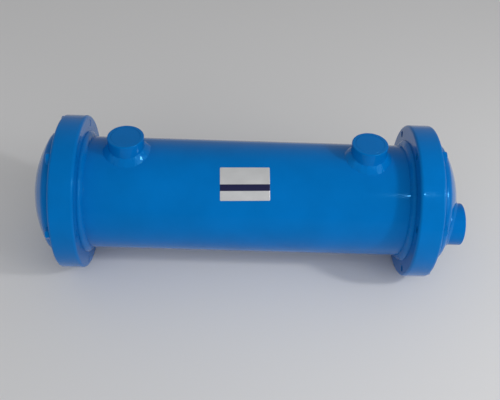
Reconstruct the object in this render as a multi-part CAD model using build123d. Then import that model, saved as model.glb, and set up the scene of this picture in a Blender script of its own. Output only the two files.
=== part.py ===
from build123d import *
import math
import os

# Shell and tube heat exchanger: two passes in the tubes, one round them in the shell.
# Millimetres. X runs along the shell, +X is the end with the water ports, +Z is up.
# Every piece is drawn about the middle of the shell's axis, and is set on the floor at the end.

# Shell
shell_od = 168.3
shell_wall = 5.0
shell_length = 478.8

# End rings: a tube sheet welded to the shell, a gasket and a cover flange, bolted together
flange_rim = 23.5
flange_edge_radius = 4.0
tube_sheet_thickness = 18.0
gasket_thickness = 2.0
cover_flange_thickness = 16.0

# Cover bolts, turned from the top towards -Y
bolt_count = 6
bolt_edge_distance = 11.5
bolt_thread_diameter = 10.0
bolt_hole_diameter = 11.0
left_bolt_turn = 23.0
right_bolt_turn = 10.5

# Dished heads of the covers, a little wider than the shell
head_overhang = 7.85
head_wall = 6.0
head_skirt = 6.0
head_crown_radius = 164.0
head_knuckle_radius = 12.0

# Shell nozzles, on top
nozzle_od = 52.5
nozzle_wall = 5.25
nozzle_edge_radius = 1.5
nozzle_stand = 24.05
left_nozzle_inset = 63.4
right_nozzle_inset = 64.8

# Water ports, side by side in the crown of the right head
port_od = 62.5
port_wall = 7.25
port_edge_radius = 1.5
port_length = 32.0
port_stand = 2.5
port_knuckle_gap = 0.25

# Plugs that close the four connections
plug_thickness = 12.0
plug_clearance = 0.1
plug_edge = 0.4

# Weld beads: legs, how far a bead's belly stands out for each leg, and how near like edges lie
bead_belly = 0.62
bead_edge_match = 0.2
shell_weld_leg = 8.0
cover_weld_leg = 1.8
nozzle_weld_leg = 6.0
port_weld_leg = 2.5

# Tubes on a triangular pitch, in two groups beside the lane of the pass partition
tube_od = 19.0
tube_wall = 1.5
tube_pitch = 25.0
tube_projection = 2.0
tube_hole_clearance = 0.1
lane_width = 10.0
bundle_margin = 4.0

# Baffles, hung on tie rods between spacers
baffle_count = 4
baffle_thickness = 4.0
baffle_cut = 40.0
baffle_shell_clearance = 0.5
baffle_hole_clearance = 0.3
tie_rod_diameter = 6.0
tie_rod_seat = 8.0
tie_rod_tail = 10.0
lane_rod_margin = 9.0
side_rod_margin = 19.0
spacer_od = 9.4
spacer_clearance = 0.2
nut_width = 10.0
nut_thickness = 5.0

# Pass partition in the right cover, and the gasket's rib under it
partition_thickness = 6.0

# Worked out from the sizes above
half_length = shell_length / 2
shell_radius = shell_od / 2
shell_bore_radius = shell_radius - shell_wall
head_od = shell_od + 2 * head_overhang
flange_od = head_od + 2 * flange_rim
bolt_circle_diameter = flange_od - 2 * bolt_edge_distance
nozzle_bore = nozzle_od - 2 * nozzle_wall
nozzle_reach = shell_radius + nozzle_stand
left_nozzle_x = left_nozzle_inset - half_length
right_nozzle_x = half_length - right_nozzle_inset
baffle_reach = shell_bore_radius - baffle_cut
gasket_x = half_length + tube_sheet_thickness
cover_x = gasket_x + gasket_thickness
head_x = cover_x + cover_flange_thickness
cover_bore = head_od - 2 * head_wall
port_bore = port_od - 2 * port_wall


def crown_rise(radius, crown, knuckle):
    """Height of a dished head above its skirt, where a knuckle arc runs into a crown arc."""
    return crown - math.sqrt((crown - knuckle) ** 2 - (radius - knuckle) ** 2)


head_height = head_skirt + crown_rise(head_od / 2, head_crown_radius, head_knuckle_radius)
port_end_x = head_x + head_height + port_stand
port_offset = head_od / 2 - head_knuckle_radius - port_knuckle_gap - port_od / 2
left_end_x = -(head_x + head_height)


def bar(diameter, x_start, x_end, y=0.0, z=0.0):
    """Round bar along X."""
    plane = Plane(origin=(x_start, y, z), x_dir=(0, 0, 1), z_dir=(1, 0, 0))
    return extrude(plane * Circle(diameter / 2), x_end - x_start)


def post(diameter, x, z_start, z_end):
    """Round bar along Z."""
    plane = Plane(origin=(x, 0, z_start), x_dir=(1, 0, 0), z_dir=(0, 0, 1))
    return extrude(plane * Circle(diameter / 2), z_end - z_start)


def bars(diameter, x_start, x_end, places):
    """Like round bars along X, one at each place (y, z)."""
    return [bar(diameter, x_start, x_end, y, z) for y, z in places]


def hollow_bars(diameter, wall, x_start, x_end, places):
    """Like tubes along X, one at each place (y, z)."""
    bore = diameter - 2 * wall
    return [bar(diameter, x_start, x_end, y, z) - bar(bore, x_start, x_end, y, z) for y, z in places]


def mirror_left(shape):
    """The left end's twin of a shape drawn at the right end."""
    return mirror(shape, about=Plane.YZ)


def bolt_places(turn):
    """Places (y, z) of the bolts on their circle, turned from the top towards -Y."""
    radius = bolt_circle_diameter / 2
    angles = [math.radians(turn + 360 * n / bolt_count) for n in range(bolt_count)]
    return [(-radius * math.sin(a), radius * math.cos(a)) for a in angles]


# Tie rods where every baffle holds them: two in the lane, one in the middle of each side
lane_rod_height = baffle_reach - lane_rod_margin
side_rod_offset = shell_bore_radius - side_rod_margin
tie_rod_places = [
    (0.0, lane_rod_height),
    (0.0, -lane_rod_height),
    (side_rod_offset, 0.0),
    (-side_rod_offset, 0.0),
]


def tube_places():
    """Tube centres (y, z) on the +Y side of the lane, leaving out those that a tie rod stands in for."""
    column_step = tube_pitch * math.sqrt(3) / 2
    reach = shell_bore_radius - bundle_margin - tube_od / 2
    rod_reach = (tube_od + spacer_od) / 2
    rows = int(reach // tube_pitch) + 1
    places = []
    y = (lane_width + tube_od) / 2
    stagger = 0.0
    while y <= reach:
        for row in range(-rows, rows + 1):
            z = row * tube_pitch + stagger
            beside_rod = any(math.dist((y, z), rod) < rod_reach for rod in tie_rod_places)
            if math.hypot(y, z) <= reach and not beside_rod:
                places.append((y, z))
        y += column_step
        stagger = tube_pitch / 2 - stagger
    return places


far_tube_places = tube_places()
near_tube_places = [(-y, z) for y, z in far_tube_places]
tube_hole_places = far_tube_places + near_tube_places


def tube_sheet(turn):
    """Right tube sheet: drilled for the tubes, tapped for the cover bolts, rounded at its inward edge."""
    plate = bar(flange_od, half_length, gasket_x)
    inward_rim = plate.edges().filter_by(GeomType.CIRCLE).sort_by(Axis.X)[0]
    plate = fillet(inward_rim, flange_edge_radius)
    tube_hole = tube_od + 2 * tube_hole_clearance
    plate -= bars(tube_hole, half_length, gasket_x, tube_hole_places)
    plate -= bars(bolt_thread_diameter, half_length, gasket_x, bolt_places(turn))
    return plate


def gasket(turn, ribbed):
    """Right full-face gasket, with a rib under the pass partition where there is one."""
    sheet = bar(flange_od, gasket_x, cover_x) - bar(cover_bore, gasket_x, cover_x)
    sheet -= bars(bolt_hole_diameter, gasket_x, cover_x, bolt_places(turn))
    if ribbed:
        sheet += Pos(gasket_x, 0, 0) * Box(
            gasket_thickness, partition_thickness, head_od,
            align=(Align.MIN, Align.CENTER, Align.CENTER),
        )
    return sheet


def cover_flange(turn):
    """Right cover flange, bored to the head's inside, rounded at its outward edge."""
    plate = bar(flange_od, cover_x, head_x)
    outward_rim = plate.edges().filter_by(GeomType.CIRCLE).sort_by(Axis.X)[-1]
    plate = fillet(outward_rim, flange_edge_radius)
    plate -= bar(cover_bore, cover_x, head_x)
    plate -= bars(bolt_hole_diameter, cover_x, head_x, bolt_places(turn))
    return plate


def head_solid(set_in):
    """Solid of the right head, set in by a wall: skirt, knuckle arc and crown arc, revolved."""
    radius = head_od / 2 - set_in
    crown = head_crown_radius - set_in
    knuckle = head_knuckle_radius - set_in
    knuckle_x = head_x + head_skirt
    crown_x = knuckle_x + crown_rise(radius, crown, knuckle) - crown
    turn = math.degrees(math.atan2(knuckle_x - crown_x, radius - knuckle))
    outline = Polyline((crown_x + crown, 0), (head_x, 0), (head_x, radius), (knuckle_x, radius))
    outline += CenterArc((knuckle_x, radius - knuckle), knuckle, 90, -turn)
    outline += CenterArc((crown_x, 0), crown, 90 - turn, turn - 90)
    return revolve(make_face(outline), Axis.X)


outer_head = head_solid(0.0)
inner_head = head_solid(head_wall)


def corner_bead(base, branch, leg):
    """Weld bead in the corner where a branch leaves a base, cut at 45 degrees."""
    joined = base + branch
    old_middles = [edge.center() for edge in base.edges() + branch.edges()]
    corner = [
        edge for edge in joined.edges()
        if min((edge.center() - middle).length for middle in old_middles) > bead_edge_match
    ]
    return chamfer(corner, leg) - joined


def ring_bead(radius, x, leg, side):
    """Weld bead of bulged section round a barrel, against a flat face that looks along side."""
    foot = (x, radius)
    toe = (x + side * leg, radius)
    top = (x, radius + leg)
    belly = (x + side * leg * bead_belly, radius + leg * bead_belly)
    outline = Line(toe, foot) + Line(foot, top) + ThreePointArc(top, belly, toe)
    return revolve(make_face(outline), Axis.X)


def nozzle_body(x):
    """Outside of a shell nozzle as a solid bar from the shell's axis, with an eased rim."""
    body = post(nozzle_od, x, 0, nozzle_reach)
    return fillet(body.edges().sort_by(Axis.Z)[-1], nozzle_edge_radius)


def shell_nozzle(x):
    """Socket set through the shell's wall, cut to the shell's bore."""
    bore = post(nozzle_bore, x, 0, nozzle_reach)
    return nozzle_body(x) - bore - bar(2 * shell_bore_radius, -half_length, half_length)


def closing_plug(diameter):
    """Plug with an eased rim, its outer face at Z = 0."""
    plug = Pos(0, 0, -plug_thickness) * Cylinder(
        diameter / 2 - plug_clearance, plug_thickness, align=(Align.CENTER, Align.CENTER, Align.MIN)
    )
    return chamfer(plug.edges().sort_by(Axis.Z)[-1], plug_edge)


def port_body(y):
    """Outside of a water port as a solid bar with an eased rim."""
    body = bar(port_od, port_end_x - port_length, port_end_x, y)
    return fillet(body.edges().sort_by(Axis.X)[-1], port_edge_radius)


def water_port(y):
    """Socket set through the head's wall."""
    return port_body(y) - bar(port_bore, port_end_x - port_length, port_end_x, y)


def pass_partition():
    """Plate across the right cover, from the gasket's rib to the head's inside, between the ports."""
    slab = Pos(cover_x, 0, 0) * Box(
        cover_flange_thickness + head_height, partition_thickness, cover_bore,
        align=(Align.MIN, Align.CENTER, Align.CENTER),
    )
    return slab & (bar(cover_bore, cover_x, head_x) + inner_head)


def baffle_places():
    """Where each baffle starts along X, at an even spacing between the tube sheets."""
    step = shell_length / (baffle_count + 1)
    return [step * (n + 1) - half_length - baffle_thickness / 2 for n in range(baffle_count)]


def baffle(x, cut_side):
    """Disc with a segment cut away at the top or the bottom, drilled for tubes and tie rods."""
    radius = shell_bore_radius - baffle_shell_clearance
    x_end = x + baffle_thickness
    plate = bar(2 * radius, x, x_end)
    window = Pos(x, 0, cut_side * baffle_reach) * Box(
        baffle_thickness, 2 * radius, baffle_cut,
        align=(Align.MIN, Align.CENTER, Align.MIN if cut_side > 0 else Align.MAX),
    )
    plate -= window
    plate -= bars(tube_od + 2 * baffle_hole_clearance, x, x_end, tube_hole_places)
    plate -= bars(tie_rod_diameter + 2 * baffle_hole_clearance, x, x_end, tie_rod_places)
    return plate


baffle_starts = baffle_places()
tie_rod_start = -half_length - tie_rod_seat
tie_rod_end = baffle_starts[-1] + baffle_thickness + tie_rod_tail


def spacers():
    """Sleeves on the tie rods, from the left tube sheet to the first baffle and between the baffles."""
    sleeve_wall = (spacer_od - tie_rod_diameter) / 2 - spacer_clearance
    starts = [-half_length] + [x + baffle_thickness for x in baffle_starts[:-1]]
    sleeves = []
    for x_start, x_end in zip(starts, baffle_starts):
        sleeves += hollow_bars(spacer_od, sleeve_wall, x_start, x_end, tie_rod_places)
    return sleeves


def tie_rod_nuts():
    """Hexagon nuts that hold the last baffle on the tie rods."""
    x = baffle_starts[-1] + baffle_thickness
    nuts = []
    for y, z in tie_rod_places:
        plane = Plane(origin=(x, y, z), x_dir=(0, 0, 1), z_dir=(1, 0, 0))
        hexagon = RegularPolygon(nut_width / 2, 6, major_radius=False) - Circle(tie_rod_diameter / 2)
        nuts.append(extrude(plane * hexagon, nut_thickness))
    return nuts


def group(solids):
    """One piece of many like solids."""
    return Compound(children=list(solids))


left_sheet = mirror_left(tube_sheet(left_bolt_turn))
left_sheet -= bars(tie_rod_diameter, tie_rod_start, -half_length, tie_rod_places)
shell = bar(shell_od, -half_length, half_length) - bar(2 * shell_bore_radius, -half_length, half_length)
shell_core = bar(shell_od, -half_length, half_length)
right_head = outer_head - inner_head
tube_start = -gasket_x - tube_projection
tube_end = gasket_x + tube_projection

parts = {
    "left_tube_sheet": left_sheet,
    "right_tube_sheet": tube_sheet(right_bolt_turn),
    "left_gasket": mirror_left(gasket(left_bolt_turn, ribbed=False)),
    "right_gasket": gasket(right_bolt_turn, ribbed=True),
    "left_cover_flange": mirror_left(cover_flange(left_bolt_turn)),
    "right_cover_flange": cover_flange(right_bolt_turn),
    "left_head": mirror_left(right_head),
    "left_shell_weld": ring_bead(shell_radius, -half_length, shell_weld_leg, 1),
    "right_shell_weld": ring_bead(shell_radius, half_length, shell_weld_leg, -1),
    "left_head_weld": ring_bead(head_od / 2, -head_x, cover_weld_leg, -1),
    "right_head_weld": ring_bead(head_od / 2, head_x, cover_weld_leg, 1),
    "pass_partition": pass_partition(),
    "near_tubes": group(hollow_bars(tube_od, tube_wall, tube_start, tube_end, near_tube_places)),
    "far_tubes": group(hollow_bars(tube_od, tube_wall, tube_start, tube_end, far_tube_places)),
    "tie_rods": group(bars(tie_rod_diameter, tie_rod_start, tie_rod_end, tie_rod_places)),
    "tie_rod_spacers": group(spacers()),
    "tie_rod_nuts": group(tie_rod_nuts()),
}

for side, x in (("left", left_nozzle_x), ("right", right_nozzle_x)):
    shell -= nozzle_body(x)
    parts[f"{side}_nozzle"] = shell_nozzle(x)
    parts[f"{side}_nozzle_weld"] = corner_bead(shell_core, nozzle_body(x), nozzle_weld_leg)
    parts[f"{side}_nozzle_plug"] = Pos(x, 0, nozzle_reach) * closing_plug(nozzle_bore)
parts["shell"] = shell

for side, y in (("near", -port_offset), ("far", port_offset)):
    right_head -= port_body(y)
    parts[f"{side}_port"] = water_port(y)
    parts[f"{side}_port_weld"] = corner_bead(outer_head, port_body(y), port_weld_leg)
    parts[f"{side}_port_plug"] = Pos(port_end_x, y, 0) * Rot(0, 90, 0) * closing_plug(port_bore)
parts["right_head"] = right_head

for n, x in enumerate(baffle_starts):
    parts[f"baffle_{n + 1}"] = baffle(x, 1 if n % 2 == 0 else -1)

# The origin is on the floor, under the middle of the whole length
to_floor = Pos(-(left_end_x + port_end_x) / 2, 0, flange_od / 2)
os.makedirs("parts", exist_ok=True)
for name, shape in parts.items():
    export_step(to_floor * shape, f"parts/{name}.step")
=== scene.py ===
import math

import bpy
import numpy as np
from mathutils import Matrix, Vector


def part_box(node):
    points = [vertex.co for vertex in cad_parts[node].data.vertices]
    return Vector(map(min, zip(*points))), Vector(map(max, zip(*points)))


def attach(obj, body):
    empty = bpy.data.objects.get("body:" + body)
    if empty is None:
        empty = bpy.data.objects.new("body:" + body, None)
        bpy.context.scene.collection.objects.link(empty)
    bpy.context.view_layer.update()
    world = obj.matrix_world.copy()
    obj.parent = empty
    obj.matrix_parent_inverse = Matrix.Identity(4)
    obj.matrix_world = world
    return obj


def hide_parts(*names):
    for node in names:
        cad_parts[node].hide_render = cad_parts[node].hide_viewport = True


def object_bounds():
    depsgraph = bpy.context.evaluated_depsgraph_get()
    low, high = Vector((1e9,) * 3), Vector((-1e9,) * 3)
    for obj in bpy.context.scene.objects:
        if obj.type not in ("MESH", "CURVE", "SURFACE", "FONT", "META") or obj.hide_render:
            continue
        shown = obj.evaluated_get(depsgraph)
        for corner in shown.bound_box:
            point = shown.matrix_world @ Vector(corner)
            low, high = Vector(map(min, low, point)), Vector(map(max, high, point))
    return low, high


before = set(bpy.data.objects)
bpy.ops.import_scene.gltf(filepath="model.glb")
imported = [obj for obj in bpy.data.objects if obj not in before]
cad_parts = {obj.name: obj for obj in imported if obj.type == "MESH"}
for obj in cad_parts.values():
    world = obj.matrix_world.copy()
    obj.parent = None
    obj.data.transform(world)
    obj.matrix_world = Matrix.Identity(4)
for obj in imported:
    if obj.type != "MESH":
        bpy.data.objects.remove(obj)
cad_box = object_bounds()

bl_info = {
    "name": "Heat Exchanger Finish",
    "version": (1, 0, 0),
    "blender": (4, 5, 0),
    "location": "3D View > Sidebar > Exchanger",
    "description": "Enamel, weld beads, cover bolts and name plate of a shell and tube heat exchanger",
    "category": "Object",
}

BODY = "root"
FULL_TURN = 2 * math.pi
HEXAGON_SIDES = 6

# How many points go round or across the surfaces
BARREL_SAMPLES = 900
FOOT_SAMPLES = 420
BEAD_WIDTH_SAMPLES = 15
BOLT_SAMPLES = 72
PLATE_EDGE_SAMPLES = 240
PLATE_RINGS = 24
FLOOR_SAMPLES = 96

# Edges that turn by more than this are drawn sharp
BEAD_SHARP_ANGLE = math.radians(50)
BOLT_SHARP_ANGLE = math.radians(25)
PLATE_SHARP_ANGLE = math.radians(35)
FLOOR_SHARP_ANGLE = math.radians(30)

# Sines round a bead, each with its number of waves and its weight
LUMP_WANDER = ((5, 0.5), (11, 0.28), (23, 0.16))
LEG_WANDER = ((4, 0.4), (9, 0.35), (17, 0.25))
LIFT_WANDER = ((7, 0.6), (13, 0.4))

# Form of the lumps, how far their height strays and how far the toes reach out beside them
TOE_LAG = 0.55
HOLLOW_ROUNDING = 0.04
LEVEL_LUMP = 0.65
LIFT_STRAY = 0.35
LIFT_FULLNESS = 0.7
TOE_SCALLOP = 0.06

# What starts the random draws of each piece
SEEDS = {
    "left_shell_bead": 11, "right_shell_bead": 12,
    "left_head_bead": 21, "right_head_bead": 22,
    "left_nozzle_bead": 31, "right_nozzle_bead": 32,
    "near_port_bead": 41, "far_port_bead": 42,
    "left_cover_bolts": 4, "right_cover_bolts": 5,
}

# Radii of the floor's rings, as shares of the whole
FLOOR_RINGS = (0.02, 0.1, 0.4, 1.0)

# Name, place, width and the setting that holds the power
LAMPS = (
    ("left_lamp", (-2.3, -1.5, 1.8), 1.8, "left_power"),
    ("right_lamp", (2.3, -1.5, 1.8), 1.8, "right_power"),
    ("front_lamp", (0.0, -4.1, 3.0), 5.4, "front_power"),
    ("near_glint_lamp", (0.486, -0.7, 1.0), 0.02, "near_glint_power"),
    ("far_glint_lamp", (1.1, -0.6, 1.02), 0.12, "far_glint_power"),
)
# This lamp's mirror image would lie on the shell as a band with hard edges
UNMIRRORED_LAMP = "front_lamp"

ENAMELLED = (
    "shell", "left_tube_sheet", "right_tube_sheet", "left_gasket", "right_gasket",
    "left_cover_flange", "right_cover_flange", "left_head", "right_head",
    "left_nozzle", "right_nozzle", "left_nozzle_plug", "right_nozzle_plug",
    "near_port", "far_port", "near_port_plug", "far_port_plug",
)
COPPER = ("near_tubes", "far_tubes")
BARE_STEEL = (
    "baffle_1", "baffle_2", "baffle_3", "baffle_4",
    "tie_rods", "tie_rod_spacers", "tie_rod_nuts", "pass_partition",
)


def middle_of(node):
    """Middle of a node's box, in metres."""
    low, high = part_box(node)
    return (low + high) / 2


def size_of(node):
    """Lengths of a node's box, in metres."""
    low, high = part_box(node)
    return high - low


shell_middle = middle_of("shell")
shell_radius = size_of("shell").y / 2
ring_radius = size_of("left_tube_sheet").y / 2
head_radius = size_of("right_head").y / 2
axis_height = shell_middle.z


class EnamelSettings(bpy.types.PropertyGroup):
    """Gloss enamel over the whole outside."""

    colour: bpy.props.FloatVectorProperty(
        name="Colour", description="Colour of the enamel", subtype="COLOR", size=3,
        min=0.0, max=1.0, default=(0.0, 0.147, 0.474),
    )
    sheen_colour: bpy.props.FloatVectorProperty(
        name="Reflection Colour", description="Tint of what the enamel mirrors when seen face on",
        subtype="COLOR", size=3, min=0.0, max=1.0, default=(0.12, 0.55, 1.0),
    )
    bead_sheen_colour: bpy.props.FloatVectorProperty(
        name="Bead Reflection Colour", description="The same tint on the weld beads",
        subtype="COLOR", size=3, min=0.0, max=1.0, default=(0.15, 0.6, 1.0),
    )
    gloss_low: bpy.props.FloatProperty(
        name="Smoothest", description="Roughness where the enamel is smoothest",
        subtype="FACTOR", min=0.0, max=1.0, default=0.09,
    )
    gloss_high: bpy.props.FloatProperty(
        name="Dullest", description="Roughness where the enamel is dullest",
        subtype="FACTOR", min=0.0, max=1.0, default=0.16,
    )
    bead_gloss: bpy.props.FloatProperty(
        name="Bead Roughness",
        description="Roughness of the coat on the weld beads, as a share of the rest's",
        subtype="FACTOR", min=0.0, max=1.0, default=0.4,
    )
    refraction: bpy.props.FloatProperty(
        name="Refraction", description="Refractive index of the enamel: more mirrors more",
        min=1.1, max=2.0, default=1.38,
    )
    bead_refraction: bpy.props.FloatProperty(
        name="Bead Refraction",
        description="The same index on the weld beads, whose coat is thick and glassy",
        min=1.1, max=2.0, default=1.42,
    )
    mottle: bpy.props.FloatProperty(
        name="Mottle", description="How far the colour strays where the coat is thick or thin",
        subtype="FACTOR", min=0.0, max=0.5, default=0.07,
    )
    peel_size: bpy.props.FloatProperty(
        name="Orange Peel Size", description="Width of one dimple of the sprayed coat",
        unit="LENGTH", min=0.0005, max=0.02, default=0.0025,
    )
    peel_depth: bpy.props.FloatProperty(
        name="Orange Peel Depth", description="Depth of the dimples",
        unit="LENGTH", min=0.0, max=0.001, default=0.00003,
    )
    wave_size: bpy.props.FloatProperty(
        name="Wave Size", description="Width of the slow waves that rolled plate leaves under the coat",
        unit="LENGTH", min=0.005, max=0.2, default=0.035,
    )
    wave_depth: bpy.props.FloatProperty(
        name="Wave Depth", description="Depth of the slow waves",
        unit="LENGTH", min=0.0, max=0.002, default=0.00012,
    )
    ripple_size: bpy.props.FloatProperty(
        name="Ripple Size", description="Width of one ripple of the weld beads under the coat",
        unit="LENGTH", min=0.0005, max=0.02, default=0.003,
    )
    ripple_depth: bpy.props.FloatProperty(
        name="Ripple Depth", description="Depth of the ripples of the weld beads",
        unit="LENGTH", min=0.0, max=0.002, default=0.00005,
    )


class MetalSettings(bpy.types.PropertyGroup):
    """Bare metal of the inner pieces."""

    copper: bpy.props.FloatVectorProperty(
        name="Tube Copper", description="Colour of the tubes", subtype="COLOR", size=3,
        min=0.0, max=1.0, default=(0.72, 0.36, 0.2),
    )
    steel: bpy.props.FloatVectorProperty(
        name="Bare Steel", description="Colour of baffles, tie rods, spacers and nuts",
        subtype="COLOR", size=3, min=0.0, max=1.0, default=(0.42, 0.42, 0.43),
    )


class WeldSettings(bpy.types.PropertyGroup):
    """Fillet welds, laid by hand and painted over."""

    shell_leg: bpy.props.FloatProperty(
        name="Shell Leg", description="Leg of the bead between the shell and a tube sheet",
        unit="LENGTH", min=0.001, max=0.02, default=0.0078,
    )
    nozzle_leg: bpy.props.FloatProperty(
        name="Nozzle Leg", description="Leg of the bead round the foot of a shell nozzle",
        unit="LENGTH", min=0.001, max=0.02, default=0.0082,
    )
    port_leg: bpy.props.FloatProperty(
        name="Port Leg", description="Leg of the bead round the foot of a water port",
        unit="LENGTH", min=0.001, max=0.02, default=0.0026,
    )
    head_leg: bpy.props.FloatProperty(
        name="Head Leg", description="Leg of the bead between a head and its cover flange",
        unit="LENGTH", min=0.001, max=0.02, default=0.0018,
    )
    head_crown: bpy.props.FloatProperty(
        name="Crown Radius", description="Radius of the right head's crown, where the ports stand",
        unit="LENGTH", min=0.05, max=1.0, default=0.164,
    )
    wall_bow: bpy.props.FloatProperty(
        name="Wall Bow",
        description="Share of the wall's leg the bow pulls up to: over 1 leaves a groove at the wall",
        min=0.3, max=1.5, default=1.15,
    )
    base_bow: bpy.props.FloatProperty(
        name="Base Bow", description="Share of the base's leg the bow pulls out to",
        min=0.3, max=1.0, default=0.62,
    )
    foot_bow: bpy.props.FloatProperty(
        name="Foot Bow", description="The same share, of both legs, on the beads round nozzles and ports",
        min=0.3, max=1.0, default=0.54,
    )
    lump_pitch: bpy.props.FloatProperty(
        name="Lump Pitch", description="Distance from one lump of a bead to the next",
        unit="LENGTH", min=0.002, max=0.03, default=0.0065,
    )
    lump_height: bpy.props.FloatProperty(
        name="Lump Height", description="Height of a lump as a share of the bead's leg",
        subtype="FACTOR", min=0.0, max=0.5, default=0.04,
    )
    unevenness: bpy.props.FloatProperty(
        name="Unevenness", description="How far a hand-laid bead's legs stray from their size",
        subtype="FACTOR", min=0.0, max=0.5, default=0.09,
    )
    seat: bpy.props.FloatProperty(
        name="Seat", description="How deep the bead's toes sit in the metal",
        unit="LENGTH", min=0.0, max=0.002, default=0.0004,
    )


class BoltSettings(bpy.types.PropertyGroup):
    """Hexagon bolts that hold the covers to the tube sheets."""

    count: bpy.props.IntProperty(
        name="Count", description="Bolts in each cover", min=1, max=48, default=6,
    )
    edge_distance: bpy.props.FloatProperty(
        name="Edge Distance", description="From a bolt's axis to the flange's rim",
        unit="LENGTH", min=0.005, max=0.05, default=0.0115,
    )
    thread: bpy.props.FloatProperty(
        name="Thread", description="Diameter over the thread",
        unit="LENGTH", min=0.003, max=0.03, default=0.0098,
    )
    left_length: bpy.props.FloatProperty(
        name="Left Length", description="Shank of the left bolts from under the head to its tip",
        unit="LENGTH", min=0.01, max=0.1, default=0.0357,
    )
    right_length: bpy.props.FloatProperty(
        name="Right Length", description="Shank of the right bolts from under the head to its tip",
        unit="LENGTH", min=0.01, max=0.1, default=0.03,
    )
    across_flats: bpy.props.FloatProperty(
        name="Across Flats", description="Width of the hexagon head",
        unit="LENGTH", min=0.005, max=0.05, default=0.016,
    )
    head_height: bpy.props.FloatProperty(
        name="Head Height", description="Height of the hexagon head",
        unit="LENGTH", min=0.002, max=0.03, default=0.0062,
    )
    left_turn: bpy.props.FloatProperty(
        name="Left Turn",
        description="Turn of the left cover's first bolt from the top towards the front",
        subtype="ANGLE", default=math.radians(23.0),
    )
    right_turn: bpy.props.FloatProperty(
        name="Right Turn",
        description="Turn of the right cover's first bolt from the top towards the front",
        subtype="ANGLE", default=math.radians(10.5),
    )


class PlateSettings(bpy.types.PropertyGroup):
    """Foil name plate on the front of the shell."""

    width: bpy.props.FloatProperty(
        name="Width", description="Width along the shell", unit="LENGTH", default=0.071,
    )
    height: bpy.props.FloatProperty(
        name="Height", description="Height round the shell", unit="LENGTH", default=0.0492,
    )
    thickness: bpy.props.FloatProperty(
        name="Thickness", description="How far the foil stands off the enamel",
        unit="LENGTH", default=0.00035,
    )
    corner_radius: bpy.props.FloatProperty(
        name="Corner Radius", description="Radius of the plate's corners",
        unit="LENGTH", min=0.0001, max=0.02, default=0.0012,
    )
    offset: bpy.props.FloatProperty(
        name="Offset", description="Middle of the plate from the middle of the shell, along the shell",
        unit="LENGTH", default=-0.0039,
    )
    turn: bpy.props.FloatProperty(
        name="Turn", description="Middle of the plate from the top of the shell towards the front",
        subtype="ANGLE", default=math.radians(35.6),
    )
    tilt: bpy.props.FloatProperty(
        name="Tilt", description="How far the plate is stuck on askew, right side up",
        subtype="ANGLE", default=math.radians(1.9),
    )
    band_top: bpy.props.FloatProperty(
        name="Band Top",
        description="Upper edge of the dark band, as a share of the height from the foot",
        subtype="FACTOR", min=0.0, max=1.0, default=0.476,
    )
    band_foot: bpy.props.FloatProperty(
        name="Band Foot",
        description="Lower edge of the dark band, as a share of the height from the foot",
        subtype="FACTOR", min=0.0, max=1.0, default=0.282,
    )
    foil: bpy.props.FloatVectorProperty(
        name="Foil", description="Colour of the foil", subtype="COLOR", size=3,
        min=0.0, max=1.0, default=(0.6, 0.61, 0.62),
    )
    band: bpy.props.FloatVectorProperty(
        name="Band", description="Colour of the dark band", subtype="COLOR", size=3,
        min=0.0, max=1.0, default=(0.008, 0.01, 0.06),
    )


class StageSettings(bpy.types.PropertyGroup):
    """Floor, lamps and camera."""

    floor_colour: bpy.props.FloatVectorProperty(
        name="Floor Colour", description="Colour of the plain floor", subtype="COLOR", size=3,
        min=0.0, max=1.0, default=(0.74, 0.74, 0.745),
    )
    floor_radius: bpy.props.FloatProperty(
        name="Floor Radius", description="How far the floor reaches", unit="LENGTH", default=9.0,
    )
    sky: bpy.props.FloatProperty(
        name="Sky", description="Light from all round", min=0.0, max=1.0, default=0.32,
    )
    left_power: bpy.props.FloatProperty(
        name="Left Lamp", description="Power of the large lamp left of the camera",
        unit="POWER", min=0.0, default=3.0,
    )
    right_power: bpy.props.FloatProperty(
        name="Right Lamp", description="Power of the large lamp right of the camera",
        unit="POWER", min=0.0, default=22.0,
    )
    front_power: bpy.props.FloatProperty(
        name="Front Lamp", description="Power of the very large lamp behind the camera",
        unit="POWER", min=0.0, default=95.0,
    )
    near_glint_power: bpy.props.FloatProperty(
        name="Near Glint Lamp",
        description="Power of the small lamp that makes the right shell weld glint",
        unit="POWER", min=0.0, default=0.25,
    )
    far_glint_power: bpy.props.FloatProperty(
        name="Far Glint Lamp",
        description="Power of the small lamp further right that makes the other welds glint",
        unit="POWER", min=0.0, default=5.0,
    )
    camera_azimuth: bpy.props.FloatProperty(
        name="Azimuth", description="The camera's turn about the upright axis",
        subtype="ANGLE", default=math.radians(-1.666),
    )
    camera_elevation: bpy.props.FloatProperty(
        name="Elevation", description="The camera's height above the level",
        subtype="ANGLE", default=math.radians(42.664),
    )
    camera_roll: bpy.props.FloatProperty(
        name="Roll", description="The camera's turn about its own line of sight",
        subtype="ANGLE", default=math.radians(2.79),
    )
    camera_distance: bpy.props.FloatProperty(
        name="Distance", description="From the camera to the shell's middle along the line of sight",
        unit="LENGTH", default=1.1119,
    )
    camera_right: bpy.props.FloatProperty(
        name="Right", description="How far the camera stands to the right of the shell's middle",
        unit="LENGTH", default=0.0055,
    )
    camera_up: bpy.props.FloatProperty(
        name="Up", description="How far the camera stands above the shell's middle in its own frame",
        unit="LENGTH", default=-0.0062,
    )
    lens: bpy.props.FloatProperty(
        name="Lens", description="Focal length in millimetres on a sensor 36 mm wide",
        unit="CAMERA", default=52.27,
    )


def ring_faces(rings, columns):
    """Quads between neighbouring rings of points that each close on themselves."""
    ring = np.arange(rings - 1)[:, None] * columns
    column = np.arange(columns)[None, :]
    after = (column + 1) % columns
    further = ring + columns
    quads = np.stack([ring + column, ring + after, further + after, further + column], axis=-1)
    return quads.reshape(-1, 4)


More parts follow.
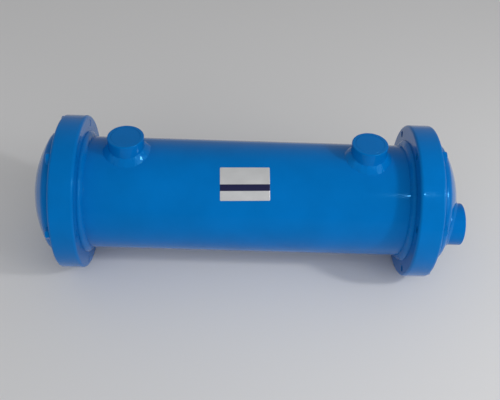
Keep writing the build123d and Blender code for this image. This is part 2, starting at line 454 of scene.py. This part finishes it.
def wrap_faces(rings, columns):
    """The quads of ring_faces, and those that join the last ring to the first."""
    last = (rings - 1) * columns
    column = np.arange(columns)
    after = (column + 1) % columns
    seam = np.stack([last + column, last + after, after, column], axis=-1)
    return np.concatenate([ring_faces(rings, columns), seam])


def pole_faces(rings, columns):
    """Triangles from the first ring to a point before it, and from the last ring to a point after it.

    The two points follow the rings in the list of points.
    """
    column = np.arange(columns)
    after = (column + 1) % columns
    first_pole = np.full(columns, rings * columns)
    last = (rings - 1) * columns
    first_fan = np.stack([after, column, first_pole], axis=-1)
    last_fan = np.stack([last + column, last + after, first_pole + 1], axis=-1)
    return np.concatenate([first_fan, last_fan])


def capped_points(grid):
    """A grid of rings as a list of points, with the middles of the first and last ring after them."""
    return np.concatenate([grid.reshape(-1, 3), grid[0].mean(0)[None], grid[-1].mean(0)[None]])


def enclosed_volume(points, triangles):
    """Six times the volume that the triangles enclose: positive when they face outwards."""
    a, b, c = (points[triangles[:, n]] for n in range(3))
    return np.einsum("ij,ij->i", a, np.cross(b, c)).sum()


def outward(points, faces):
    """The faces, turned round if they face inwards."""
    triangles = [face[:, [0, n, n + 1]] for face in faces for n in range(1, face.shape[1] - 1)]
    if enclosed_volume(points - points.mean(0), np.concatenate(triangles)) < 0:
        return [face[:, ::-1] for face in faces]
    return faces


def add_piece(name, points, faces, material, sharp_angle):
    """A mesh object at the origin, shaded smooth but for edges sharper than the angle."""
    mesh = bpy.data.meshes.new(name)
    face_list = [corner for face in faces for corner in face.tolist()]
    mesh.from_pydata(points.tolist(), [], face_list)
    mesh.polygons.foreach_set("use_smooth", np.ones(len(mesh.polygons), bool))
    mesh.set_sharp_from_angle(angle=sharp_angle)
    mesh.materials.append(material)
    mesh.update()
    piece = bpy.data.objects.new(name, mesh)
    bpy.context.scene.collection.objects.link(piece)
    return piece


def add_node(tree, kind, **values):
    """A shader node with some of its inputs or properties set by name."""
    node = tree.nodes.new(kind)
    for key, value in values.items():
        label = key.replace("_", " ").title()
        if label in node.inputs:
            node.inputs[label].default_value = value
        else:
            setattr(node, key, value)
    return node


def new_material(name):
    """A material with its node tree and its one shader."""
    material = bpy.data.materials.new(name)
    material.use_nodes = True
    return material, material.node_tree, material.node_tree.nodes["Principled BSDF"]


def noise(tree, coordinates, width, detail=2.0):
    """Noise whose blots are about width across, in metres."""
    texture = add_node(tree, "ShaderNodeTexNoise", scale=1.0 / width, detail=detail)
    tree.links.new(coordinates, texture.inputs["Vector"])
    return texture.outputs["Fac"]


def spread(tree, value, low, high, from_low=0.3, from_high=0.7):
    """A value of noise, stretched to run from low to high."""
    stretch = add_node(
        tree, "ShaderNodeMapRange", from_min=from_low, from_max=from_high, to_min=low, to_max=high,
    )
    tree.links.new(value, stretch.inputs["Value"])
    return stretch.outputs["Result"]


def blend_colours(tree, factor, first, second):
    """A mix of two colours, each a colour or a socket."""
    mix = tree.nodes.new("ShaderNodeMix")
    mix.data_type = "RGBA"
    tree.links.new(factor, mix.inputs["Factor"])
    for socket, colour in ((mix.inputs["A"], first), (mix.inputs["B"], second)):
        if isinstance(colour, bpy.types.NodeSocket):
            tree.links.new(colour, socket)
        else:
            socket.default_value = (*colour, 1.0)
    return mix.outputs["Result"]


def bump(tree, height, depth, under=None):
    """Surface relief of a depth in metres, over another relief."""
    relief = add_node(tree, "ShaderNodeBump", strength=1.0, distance=depth)
    tree.links.new(height, relief.inputs["Height"])
    if under is not None:
        tree.links.new(under, relief.inputs["Normal"])
    return relief.outputs["Normal"]


def enamel_material(name, sheen_colour, refraction, gloss, ripple_depth):
    """Gloss enamel: thick and thin patches, slow waves of the plate, a sprayed orange peel and ripples."""
    existing = bpy.data.materials.get(name)
    if existing:
        return existing
    settings = bpy.context.scene.exchanger_enamel
    patch_width = 0.07
    dull_patch_width = 0.02
    material, tree, shader = new_material(name)
    place = tree.nodes.new("ShaderNodeTexCoord").outputs["Object"]
    thin = [channel * (1 + settings.mottle) for channel in settings.colour]
    thick = [channel * (1 - settings.mottle) for channel in settings.colour]
    patches = spread(tree, noise(tree, place, patch_width, detail=4.0), 0.0, 1.0)
    tree.links.new(blend_colours(tree, patches, thick, thin), shader.inputs["Base Color"])
    smoothest = gloss * settings.gloss_low
    dullest = gloss * settings.gloss_high
    dulling = spread(tree, noise(tree, place, dull_patch_width, detail=5.0), smoothest, dullest)
    tree.links.new(dulling, shader.inputs["Roughness"])
    relief = bump(tree, noise(tree, place, settings.wave_size, detail=1.0), settings.wave_depth)
    relief = bump(tree, noise(tree, place, settings.peel_size, detail=1.0), settings.peel_depth, relief)
    if ripple_depth:
        relief = bump(tree, noise(tree, place, settings.ripple_size, detail=1.0), ripple_depth, relief)
    tree.links.new(relief, shader.inputs["Normal"])
    shader.inputs["Specular Tint"].default_value = (*sheen_colour, 1.0)
    shader.inputs["IOR"].default_value = refraction
    return material


def plain_enamel():
    """The enamel of plates and pipes."""
    settings = bpy.context.scene.exchanger_enamel
    return enamel_material("gloss_enamel", settings.sheen_colour, settings.refraction, 1.0, 0.0)


def bead_enamel():
    """The enamel over the rippled weld beads."""
    settings = bpy.context.scene.exchanger_enamel
    return enamel_material("bead_enamel", settings.bead_sheen_colour, settings.bead_refraction,
                           settings.bead_gloss, settings.ripple_depth)


def copper_material():
    """Drawn copper tube with tarnish in soft patches."""
    settings = bpy.context.scene.exchanger_metal
    tarnish_width = 0.03
    tarnish_shade = 0.6
    draw_mark_width = 0.004
    material, tree, shader = new_material("drawn_copper")
    place = tree.nodes.new("ShaderNodeTexCoord").outputs["Object"]
    tarnish = spread(tree, noise(tree, place, tarnish_width, detail=5.0), 0.0, 1.0)
    dark = [channel * tarnish_shade for channel in settings.copper]
    tree.links.new(blend_colours(tree, tarnish, dark, settings.copper), shader.inputs["Base Color"])
    roughness = spread(tree, noise(tree, place, draw_mark_width), 0.2, 0.4)
    tree.links.new(roughness, shader.inputs["Roughness"])
    shader.inputs["Metallic"].default_value = 1.0
    return material


def steel_material():
    """Bare rolled steel with a fine grain along the shell."""
    settings = bpy.context.scene.exchanger_metal
    grain_width = 0.0012
    grain_depth = 0.00001
    grain_shade = 0.75
    material, tree, shader = new_material("rolled_steel")
    place = tree.nodes.new("ShaderNodeTexCoord").outputs["Object"]
    stretch = add_node(tree, "ShaderNodeMapping", scale=(0.1, 1.0, 1.0))
    tree.links.new(place, stretch.inputs["Vector"])
    grain = noise(tree, stretch.outputs["Vector"], grain_width, detail=3.0)
    dark = [channel * grain_shade for channel in settings.steel]
    tree.links.new(blend_colours(tree, grain, dark, settings.steel), shader.inputs["Base Color"])
    tree.links.new(spread(tree, grain, 0.3, 0.5), shader.inputs["Roughness"])
    tree.links.new(bump(tree, grain, grain_depth), shader.inputs["Normal"])
    shader.inputs["Metallic"].default_value = 1.0
    return material


def foil_material():
    """Silvery foil with a printed dark band across it, on the plate's own map."""
    settings = bpy.context.scene.exchanger_plate
    print_blur = 0.004
    cloud_width = 0.35
    cloud_shade = 0.9
    scuff_width = 0.03
    material, tree, shader = new_material("plate_foil")
    place = tree.nodes.new("ShaderNodeTexCoord").outputs["UV"]
    split = tree.nodes.new("ShaderNodeSeparateXYZ")
    tree.links.new(place, split.inputs["Vector"])
    height = split.outputs["Y"]
    foot = settings.band_foot
    top = settings.band_top
    above_foot = spread(tree, height, 0.0, 1.0, foot - print_blur, foot + print_blur)
    below_top = spread(tree, height, 1.0, 0.0, top - print_blur, top + print_blur)
    inside = tree.nodes.new("ShaderNodeMath")
    inside.operation = "MULTIPLY"
    tree.links.new(above_foot, inside.inputs[0])
    tree.links.new(below_top, inside.inputs[1])
    clouds = spread(tree, noise(tree, place, cloud_width, detail=3.0), 0.0, 1.0)
    dull = [channel * cloud_shade for channel in settings.foil]
    foil = blend_colours(tree, clouds, dull, settings.foil)
    printed = blend_colours(tree, inside.outputs["Value"], foil, settings.band)
    tree.links.new(printed, shader.inputs["Base Color"])
    tree.links.new(spread(tree, noise(tree, place, scuff_width), 0.28, 0.42), shader.inputs["Roughness"])
    shader.inputs["Metallic"].default_value = 0.25
    return material


def floor_material():
    """Plain pale floor with a faint cloudiness."""
    settings = bpy.context.scene.exchanger_stage
    cloud_width = 0.8
    cloud_shade = 0.985
    material, tree, shader = new_material("pale_floor")
    place = tree.nodes.new("ShaderNodeTexCoord").outputs["Object"]
    clouds = spread(tree, noise(tree, place, cloud_width, detail=3.0), 0.0, 1.0)
    dim = [channel * cloud_shade for channel in settings.floor_colour]
    tree.links.new(blend_colours(tree, clouds, dim, settings.floor_colour), shader.inputs["Base Color"])
    shader.inputs["Roughness"].default_value = 0.7
    shader.inputs["Specular IOR Level"].default_value = 0.2
    return material


def coat(nodes, material):
    """Gives CAD nodes a finish."""
    for name in nodes:
        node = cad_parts[name]
        if not node.material_slots:
            node.data.materials.append(material)
        for slot in node.material_slots:
            slot.material = material


def bead_grid(root, wall_way, base_way, leg, bows, draw, onto_base=None):
    """A weld bead in the corner that runs along root, with one ring of points for each point of root.

    A ring goes from the corner up the wall to one toe, along a bowed line to the other toe on the base and
    back. The bowed line is the parabola whose control point stands out of the corner by the first of bows
    times the wall's leg and the second times the base's.
    Lumps lift it by the rounded absolute cosine of the way along the root, which lags behind towards the
    toes as the puddle freezes, times a power of the sine of the way across. The toes reach out a little
    beside each lump. Slow sines with phases from draw make legs and lumps uneven.
    """
    settings = bpy.context.scene.exchanger_weld
    count = len(root)
    share = np.arange(count)[:, None] / count
    across = np.linspace(0.0, 1.0, BEAD_WIDTH_SAMPLES)[None, :]
    step = np.linalg.norm(np.roll(root, -1, axis=0) - root, axis=1)
    lumps = round(step.sum() / settings.lump_pitch)

    def slow(sines):
        """Sum of sines of the way along, each with its waves, its weight and the next phase of draw."""
        return sum(
            weight * np.sin(FULL_TURN * waves * share + draw.uniform(0.0, FULL_TURN))
            for waves, weight in sines
        )

    arrival = lumps * share + slow(LUMP_WANDER) - TOE_LAG * (2 * across - 1) ** 2
    lump = np.sqrt(np.cos(math.pi * arrival) ** 2 + HOLLOW_ROUNDING)
    size = 1 + settings.unevenness * slow(LEG_WANDER)
    lift = settings.lump_height * leg * (lump - LEVEL_LUMP) * np.sin(math.pi * across) ** LIFT_FULLNESS
    lift = lift * (1 + LIFT_STRAY * slow(LIFT_WANDER))

    seat = settings.seat
    corner = root - seat * (wall_way + base_way)
    scallop = 1 + TOE_SCALLOP * (lump[:, :1] - LEVEL_LUMP)
    wall_toe = corner + wall_way * (leg * size * scallop + seat)
    base_toe = corner + base_way * (leg * size[::-1] * scallop + seat)
    if onto_base is not None:
        base_toe = onto_base(base_toe, seat)
    control = corner + bows[0] * (wall_toe - corner) + bows[1] * (base_toe - corner)
    way = across[..., None]
    bow = (
        (1 - way) ** 2 * wall_toe[:, None] + 2 * way * (1 - way) * control[:, None]
        + way ** 2 * base_toe[:, None]
    )
    out = wall_way + base_way
    out = out / np.linalg.norm(out, axis=1, keepdims=True)
    bow = bow + lift[..., None] * out[:, None]
    return np.concatenate([corner[:, None], bow], axis=1)


def add_bead(name, grid, node):
    """A closed bead that stands for a weld node of the frame."""
    rings, columns = grid.shape[:2]
    points = grid.reshape(-1, 3)
    faces = outward(points, [wrap_faces(rings, columns)])
    bead = add_piece(name, points, faces, bead_enamel(), BEAD_SHARP_ANGLE)
    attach(bead, BODY)
    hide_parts(node)


def round_axis(radius, x, samples):
    """A circle round the shell's axis, and the way outwards at each of its points."""
    turn = np.linspace(0.0, FULL_TURN, samples, endpoint=False)
    way = np.stack([np.zeros_like(turn), np.sin(turn), np.cos(turn)], axis=-1)
    centre = np.array([x, 0.0, axis_height])
    return centre + radius * way, way


def along_axis(direction, samples):
    """The same way along X for each of some points."""
    return np.tile([float(direction), 0.0, 0.0], (samples, 1))


def laid_on(ways, normals):
    """Ways turned into the surface that has these normals, each of length one."""
    along = ways - np.einsum("ij,ij->i", ways, normals)[:, None] * normals
    return along / np.linalg.norm(along, axis=1, keepdims=True)


def cover_faces():
    """Where the outer face of each cover lies along X, and which way is outwards there."""
    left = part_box("left_cover_flange")[0].x
    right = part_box("right_cover_flange")[1].x
    return {"left": (left, -1), "right": (right, 1)}


class EXCHANGER_OT_paint_outside(bpy.types.Operator):
    """Coats the shell, end rings, heads, nozzles, ports and plugs with gloss enamel"""

    bl_idname = "exchanger.paint_outside"
    bl_label = "Paint Outside"

    def execute(self, context):
        coat(ENAMELLED, plain_enamel())
        return {"FINISHED"}


class EXCHANGER_OT_finish_inside(bpy.types.Operator):
    """Gives the tubes their copper and the baffles, rods, spacers and nuts their bare steel"""

    bl_idname = "exchanger.finish_inside"
    bl_label = "Finish Inside"

    def execute(self, context):
        coat(COPPER, copper_material())
        coat(BARE_STEEL, steel_material())
        return {"FINISHED"}


class EXCHANGER_OT_add_shell_beads(bpy.types.Operator):
    """Lays the beads between the shell and the tube sheets"""

    bl_idname = "exchanger.add_shell_beads"
    bl_label = "Add Shell Beads"

    def execute(self, context):
        settings = context.scene.exchanger_weld
        leg = settings.shell_leg
        bows = (settings.wall_bow, settings.base_bow)
        low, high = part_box("shell")
        for side, x, inward in (("left", low.x, 1), ("right", high.x, -1)):
            name = f"{side}_shell_bead"
            root, outwards = round_axis(shell_radius, x, BARREL_SAMPLES)
            along = along_axis(inward, BARREL_SAMPLES)
            draw = np.random.default_rng(SEEDS[name])
            add_bead(name, bead_grid(root, outwards, along, leg, bows, draw), f"{side}_shell_weld")
        return {"FINISHED"}


class EXCHANGER_OT_add_head_beads(bpy.types.Operator):
    """Lays the small beads between the heads and their cover flanges"""

    bl_idname = "exchanger.add_head_beads"
    bl_label = "Add Head Beads"

    def execute(self, context):
        settings = context.scene.exchanger_weld
        leg = settings.head_leg
        bows = (settings.foot_bow, settings.foot_bow)
        for side, (x, direction) in cover_faces().items():
            name = f"{side}_head_bead"
            root, outwards = round_axis(head_radius, x, BARREL_SAMPLES)
            along = along_axis(direction, BARREL_SAMPLES)
            draw = np.random.default_rng(SEEDS[name])
            add_bead(name, bead_grid(root, outwards, along, leg, bows, draw), f"{side}_head_weld")
        return {"FINISHED"}


def onto_shell(points, seat):
    """Points moved straight to or from the shell's axis until they lie just under its skin."""
    axis = np.array([0.0, 0.0, axis_height])
    reach = (points - axis) * [0.0, 1.0, 1.0]
    scale = (shell_radius - seat) / np.linalg.norm(reach, axis=1, keepdims=True)
    return points + reach * (scale - 1)


class EXCHANGER_OT_add_nozzle_beads(bpy.types.Operator):
    """Lays the beads round the feet of the shell nozzles, along the saddle where nozzle and shell meet"""

    bl_idname = "exchanger.add_nozzle_beads"
    bl_label = "Add Nozzle Beads"

    def execute(self, context):
        """The root is the nozzle's circle, raised to the height of the shell's circle at each point."""
        settings = context.scene.exchanger_weld
        leg = settings.nozzle_leg
        bows = (settings.foot_bow, settings.foot_bow)
        turn = np.linspace(0.0, FULL_TURN, FOOT_SAMPLES, endpoint=False)
        way = np.stack([np.cos(turn), np.sin(turn), np.zeros_like(turn)], axis=-1)
        upwards = np.tile([0.0, 0.0, 1.0], (FOOT_SAMPLES, 1))
        for nozzle in ("left_nozzle", "right_nozzle"):
            name = f"{nozzle}_bead"
            radius = size_of(nozzle).x / 2
            root = np.array([middle_of(nozzle).x, 0.0, 0.0]) + radius * way
            root[:, 2] = axis_height + np.sqrt(shell_radius ** 2 - root[:, 1] ** 2)
            normal = (root - [0.0, 0.0, axis_height]) * [0.0, 1.0, 1.0] / shell_radius
            draw = np.random.default_rng(SEEDS[name])
            grid = bead_grid(root, upwards, laid_on(way, normal), leg, bows, draw, onto_shell)
            add_bead(name, grid, f"{nozzle}_weld")
        return {"FINISHED"}


class EXCHANGER_OT_add_port_beads(bpy.types.Operator):
    """Lays the beads round the feet of the water ports, where they leave the head's round crown"""

    bl_idname = "exchanger.add_port_beads"
    bl_label = "Add Port Beads"

    def execute(self, context):
        """The root is the port's circle, moved along X onto the sphere of the head's crown."""
        settings = context.scene.exchanger_weld
        leg = settings.port_leg
        crown = settings.head_crown
        bows = (settings.foot_bow, settings.foot_bow)
        outwards = along_axis(1, FOOT_SAMPLES)
        centre = np.array([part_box("right_head")[1].x - crown, 0.0, axis_height])

        def onto_crown(points, seat):
            """Points moved straight to or from the crown's centre until they lie just under its skin."""
            reach = points - centre
            return centre + reach * ((crown - seat) / np.linalg.norm(reach, axis=1, keepdims=True))

        for port in ("near_port", "far_port"):
            name = f"{port}_bead"
            way = round_axis(1.0, 0.0, FOOT_SAMPLES)[1]
            place = middle_of(port)
            root = np.array([0.0, place.y, place.z]) + size_of(port).y / 2 * way
            aside = np.linalg.norm((root - centre)[:, 1:], axis=1)
            root[:, 0] = centre[0] + np.sqrt(crown ** 2 - aside ** 2)
            normal = (root - centre) / crown
            draw = np.random.default_rng(SEEDS[name])
            grid = bead_grid(root, outwards, laid_on(way, normal), leg, bows, draw, onto_crown)
            add_bead(name, grid, f"{port}_weld")
        return {"FINISHED"}


def bolt_rings(settings, length):
    """One bolt standing on its own Z axis, its head's underside at zero, as rings of points.

    A ring's radius is the thread's on the shank, and on the head the hexagon's: half the width across
    flats over the cosine of the turn from the nearest flat. The head's top is cut by a cone that starts at
    a circle a little narrower than the flats.
    """
    side_turn = FULL_TURN / HEXAGON_SIDES
    top_share = 0.93
    tip_share = 0.1
    cone_angle = math.radians(30)
    turn = np.linspace(0.0, FULL_TURN, BOLT_SAMPLES, endpoint=False)
    from_flat = (turn + side_turn / 2) % side_turn - side_turn / 2
    half_flat = settings.across_flats / 2
    hexagon = half_flat / np.cos(from_flat)
    top_circle = np.full_like(turn, half_flat * top_share)
    thread = np.full_like(turn, settings.thread / 2)
    tip_bevel = settings.thread * tip_share
    cone = settings.head_height - (hexagon - top_circle) * math.tan(cone_angle)
    level = np.ones_like(turn)
    radii = [thread - tip_bevel, thread, thread, hexagon, hexagon, top_circle]
    heights = [-length * level, (tip_bevel - length) * level, 0 * level, 0 * level,
               cone, settings.head_height * level]
    radius = np.stack(radii)
    return np.stack([radius * np.cos(turn), radius * np.sin(turn), np.stack(heights)], axis=-1)


class EXCHANGER_OT_add_cover_bolts(bpy.types.Operator):
    """Puts the hexagon bolts into both covers"""

    bl_idname = "exchanger.add_cover_bolts"
    bl_label = "Add Cover Bolts"

    def execute(self, context):
        """Each bolt stands on a circle round the shell's axis, its head turned as the wrench left it."""
        settings = context.scene.exchanger_bolts
        spacing = np.arange(settings.count)
        reach = ring_radius - settings.edge_distance
        faces_along = cover_faces()
        for side, turn, length in (
            ("left", settings.left_turn, settings.left_length),
            ("right", settings.right_turn, settings.right_length),
        ):
            name = f"{side}_cover_bolts"
            x, direction = faces_along[side]
            rings = bolt_rings(settings, length)
            bolt = capped_points(rings)
            faces = [ring_faces(*rings.shape[:2]), pole_faces(*rings.shape[:2])]
            places = turn + spacing * FULL_TURN / settings.count
            draw = np.random.default_rng(SEEDS[name])
            wrench = draw.uniform(0.0, FULL_TURN / HEXAGON_SIDES, settings.count)
            across = np.stack([np.zeros_like(wrench), np.cos(wrench), np.sin(wrench)], axis=-1)
            upright = np.stack([np.zeros_like(wrench), -np.sin(wrench), np.cos(wrench)], axis=-1)
            centre = np.stack([np.full_like(places, x), -reach * np.sin(places),
                               axis_height + reach * np.cos(places)], axis=-1)
            axis = np.array([float(direction), 0.0, 0.0])
            points = (
                centre[:, None] + bolt[None, :, :1] * across[:, None]
                + bolt[None, :, 1:2] * upright[:, None] + bolt[None, :, 2:] * axis
            )
            first = (spacing * len(bolt))[:, None, None]
            all_faces = [(face[None] + first).reshape(-1, face.shape[1]) for face in faces]
            points = points.reshape(-1, 3)
            piece = add_piece(name, points, outward(points, all_faces), plain_enamel(), BOLT_SHARP_ANGLE)
            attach(piece, BODY)
        return {"FINISHED"}


def plate_outline(settings):
    """Points (x, y) evenly round a rectangle, then drawn in at the corners.

    Each point goes from the nearest point of a rectangle that is smaller by the corner's radius all round
    to a corner's radius away from it, along the line that joins the two.
    """
    half = np.array([settings.width, settings.height]) / 2
    side_ends = np.cumsum([0.0, settings.width, settings.height, settings.width, settings.height])
    way = np.linspace(0.0, side_ends[-1], PLATE_EDGE_SAMPLES, endpoint=False)
    sharp = np.stack([
        np.interp(way, side_ends, np.array([-1, 1, 1, -1, -1]) * half[0]),
        np.interp(way, side_ends, np.array([-1, -1, 1, 1, -1]) * half[1]),
    ], axis=-1)
    inner = np.clip(sharp, settings.corner_radius - half, half - settings.corner_radius)
    outwards = sharp - inner
    outwards = outwards / np.linalg.norm(outwards, axis=1, keepdims=True)
    return (inner + settings.corner_radius * outwards).T


class EXCHANGER_OT_add_name_plate(bpy.types.Operator):
    """Sticks the foil plate on the front of the shell, bent to its curve"""

    bl_idname = "exchanger.add_name_plate"
    bl_label = "Add Name Plate"

    def execute(self, context):
        """The rings are the outline, grown from the middle over the face and shrunk again over the back.

        They are wound round the shell: a height over the shell's radius is an angle about the shell's axis.
        """
        settings = context.scene.exchanger_plate
        outline_x, outline_y = plate_outline(settings)
        thickness = settings.thickness
        first_ring = 0.05
        bevel_foot = 0.6
        growing = np.linspace(first_ring, 1.0, PLATE_RINGS)
        bevel = thickness / settings.height
        reach = np.concatenate([growing * (1 - bevel), [1.0, 1.0], growing[::-1]])
        stand = np.concatenate([
            np.full(PLATE_RINGS, thickness), [thickness * bevel_foot, 0.0],
            np.full(PLATE_RINGS, -thickness),
        ])
        plate_x = reach[:, None] * outline_x
        plate_y = reach[:, None] * outline_y
        tilt = settings.tilt
        x = shell_middle.x + settings.offset + plate_x * math.cos(tilt) - plate_y * math.sin(tilt)
        up = plate_x * math.sin(tilt) + plate_y * math.cos(tilt)
        angle = settings.turn - up / shell_radius
        radius = shell_radius + stand[:, None]
        grid = np.stack([x, -radius * np.sin(angle), axis_height + radius * np.cos(angle)], axis=-1)
        rings, columns = grid.shape[:2]
        points = capped_points(grid)
        points[-2:, 1:] = self.poles(settings)
        faces = outward(points, [ring_faces(rings, columns), pole_faces(rings, columns)])
        plate = add_piece("name_plate", points, faces, foil_material(), PLATE_SHARP_ANGLE)
        flat = np.stack([plate_x / settings.width + 0.5, plate_y / settings.height + 0.5], axis=-1)
        flat = np.concatenate([flat.reshape(-1, 2), np.full((2, 2), 0.5)])
        corners = np.zeros(len(plate.data.loops), np.int32)
        plate.data.loops.foreach_get("vertex_index", corners)
        layer = plate.data.uv_layers.new(name="plate")
        layer.data.foreach_set("uv", flat[corners].astype(np.float32).ravel())
        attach(plate, BODY)
        return {"FINISHED"}

    def poles(self, settings):
        """Places (y, z) of the plate's middle, on its face and on its back."""
        radius = shell_radius + settings.thickness * np.array([1.0, -1.0])
        y = -radius * math.sin(settings.turn)
        z = axis_height + radius * math.cos(settings.turn)
        return np.stack([y, z], axis=-1)


def add_lamp(name, place, aim, width, power):
    """A square area lamp at a place, turned to what it lights."""
    lamp = bpy.data.lights.new(name, "AREA")
    lamp.shape = "SQUARE"
    lamp.size = width
    lamp.energy = power
    thing = bpy.data.objects.new(name, lamp)
    bpy.context.scene.collection.objects.link(thing)
    thing.location = place
    thing.rotation_euler = (aim - place).to_track_quat("-Z", "Y").to_euler()
    return thing


def add_camera(settings):
    """The camera at the picture's angle: back along its line of sight, then rolled and moved aside."""
    azimuth = settings.camera_azimuth
    elevation = settings.camera_elevation
    back = Vector((
        math.sin(azimuth) * math.cos(elevation),
        -math.cos(azimuth) * math.cos(elevation),
        math.sin(elevation),
    ))
    level_right = (-back).cross(Vector((0, 0, 1))).normalized()
    level_up = back.cross(level_right)
    right = level_right * math.cos(settings.camera_roll) + level_up * math.sin(settings.camera_roll)
    up = level_up * math.cos(settings.camera_roll) - level_right * math.sin(settings.camera_roll)
    place = (Vector(shell_middle) + back * settings.camera_distance + right * settings.camera_right
             + up * settings.camera_up)
    camera = bpy.data.cameras.new("camera")
    camera.lens = settings.lens
    thing = bpy.data.objects.new("camera", camera)
    bpy.context.scene.collection.objects.link(thing)
    thing.matrix_world = Matrix.Translation(place) @ Matrix((right, up, back)).transposed().to_4x4()
    bpy.context.scene.camera = thing


class EXCHANGER_OT_set_stage(bpy.types.Operator):
    """Lays the floor, hangs the lamps and sets up the camera"""

    bl_idname = "exchanger.set_stage"
    bl_label = "Set Stage"

    def execute(self, context):
        settings = context.scene.exchanger_stage
        turn = np.linspace(0.0, FULL_TURN, FLOOR_SAMPLES, endpoint=False)
        reach = np.array(FLOOR_RINGS)[:, None] * settings.floor_radius
        lowest = cad_box[0][2]
        level = np.full((len(reach), len(turn)), lowest)
        grid = np.stack([reach * np.cos(turn), reach * np.sin(turn), level], axis=-1)
        points = capped_points(grid)[:-1]
        fan = pole_faces(*grid.shape[:2])[:len(turn)]
        faces = [ring_faces(*grid.shape[:2])[:, ::-1], fan[:, ::-1]]
        floor = add_piece("floor", points, faces, floor_material(), FLOOR_SHARP_ANGLE)

        aim = Vector(shell_middle)
        for name, place, width, power in LAMPS:
            lamp = add_lamp(name, Vector(place), aim, width, getattr(settings, power))
            lamp.visible_glossy = name != UNMIRRORED_LAMP

        world = bpy.data.worlds.new("studio")
        world.use_nodes = True
        background = world.node_tree.nodes["Background"]
        background.inputs["Color"].default_value = (1.0, 1.0, 1.0, 1.0)
        background.inputs["Strength"].default_value = settings.sky
        context.scene.world = world
        context.scene.view_settings.view_transform = "Standard"
        add_camera(settings)
        return {"FINISHED"}


SETTINGS = {
    "exchanger_enamel": EnamelSettings,
    "exchanger_metal": MetalSettings,
    "exchanger_weld": WeldSettings,
    "exchanger_bolts": BoltSettings,
    "exchanger_plate": PlateSettings,
    "exchanger_stage": StageSettings,
}

OPERATORS = (
    EXCHANGER_OT_paint_outside,
    EXCHANGER_OT_finish_inside,
    EXCHANGER_OT_add_shell_beads,
    EXCHANGER_OT_add_head_beads,
    EXCHANGER_OT_add_nozzle_beads,
    EXCHANGER_OT_add_port_beads,
    EXCHANGER_OT_add_cover_bolts,
    EXCHANGER_OT_add_name_plate,
    EXCHANGER_OT_set_stage,
)


class EXCHANGER_PT_panel(bpy.types.Panel):
    """Lists the operators of the heat exchanger's finish"""

    bl_idname = "EXCHANGER_PT_panel"
    bl_label = "Heat Exchanger"
    bl_space_type = "VIEW_3D"
    bl_region_type = "UI"
    bl_category = "Exchanger"

    def draw(self, context):
        for operator in OPERATORS:
            self.layout.operator(operator.bl_idname)
        for name, group in SETTINGS.items():
            box = self.layout.box()
            settings = getattr(context.scene, name)
            for size in group.__annotations__:
                box.prop(settings, size)


def register():
    """Makes the settings, the operators and the panel known."""
    for name, group in SETTINGS.items():
        bpy.utils.register_class(group)
        setattr(bpy.types.Scene, name, bpy.props.PointerProperty(type=group))
    for operator in OPERATORS:
        bpy.utils.register_class(operator)
    bpy.utils.register_class(EXCHANGER_PT_panel)


def unregister():
    """Takes them away again, in the other order."""
    bpy.utils.unregister_class(EXCHANGER_PT_panel)
    for operator in reversed(OPERATORS):
        bpy.utils.unregister_class(operator)
    for name, group in reversed(SETTINGS.items()):
        delattr(bpy.types.Scene, name)
        bpy.utils.unregister_class(group)


def main():
    """Dresses the frame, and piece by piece."""
    register()
    bpy.ops.exchanger.paint_outside()
    bpy.ops.exchanger.finish_inside()
    bpy.ops.exchanger.add_shell_beads()
    bpy.ops.exchanger.add_head_beads()
    bpy.ops.exchanger.add_nozzle_beads()
    bpy.ops.exchanger.add_port_beads()
    bpy.ops.exchanger.add_cover_bolts()
    bpy.ops.exchanger.add_name_plate()
    bpy.ops.exchanger.set_stage()


if __name__ == "__main__":
    main()
